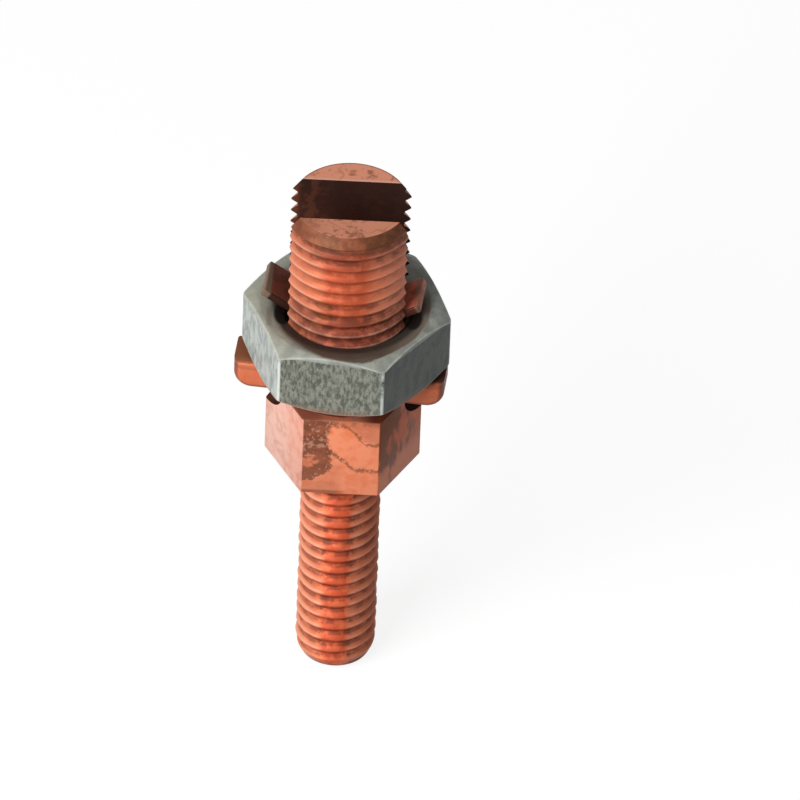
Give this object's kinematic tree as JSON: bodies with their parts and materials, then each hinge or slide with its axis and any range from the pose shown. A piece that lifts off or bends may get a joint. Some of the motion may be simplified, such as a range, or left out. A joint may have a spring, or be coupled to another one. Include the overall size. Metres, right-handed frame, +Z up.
{
  "type": "service post connector",
  "caption": "Copper split-post cable connector with a threaded stud, hexagonal collar, plated nut and captive pressure bar.",
  "frame": {"origin": "centre of the collar's underside, the face that sits on the bus bar, where the stud starts", "axes": "+Z up the split post, away from the stud; X along the cable slot; Y from one leg of the post to the other"},
  "size_m": [0.0167, 0.0152, 0.0461],
  "materials": {
    "copper_body": "bare turned copper with brown oxide",
    "copper_bar": "bare formed copper",
    "plated_steel": "dull plated, mottled grey"
  },
  "bodies": {
    "post": {"post_body": "copper_body"},
    "bar": {"pressure_bar": "copper_bar"},
    "nut": {"nut": "plated_steel"}
  },
  "joints": [
    {"name": "bar_slide", "type": "slide", "parent": "post", "child": "bar", "axis": [0, 0, 1], "range_m": [-0.00035, 0.0157]},
    {"name": "nut_turn", "type": "hinge", "parent": "bar", "child": "nut", "pos_m": [0, 0, 0.0097], "axis": [0, 0, 1], "range_deg": [-110, 5040]}
  ],
  "couplings": [
    {"joint": "bar_slide", "follows": "nut_turn", "m_per_rad": 0.00017825}
  ]
}
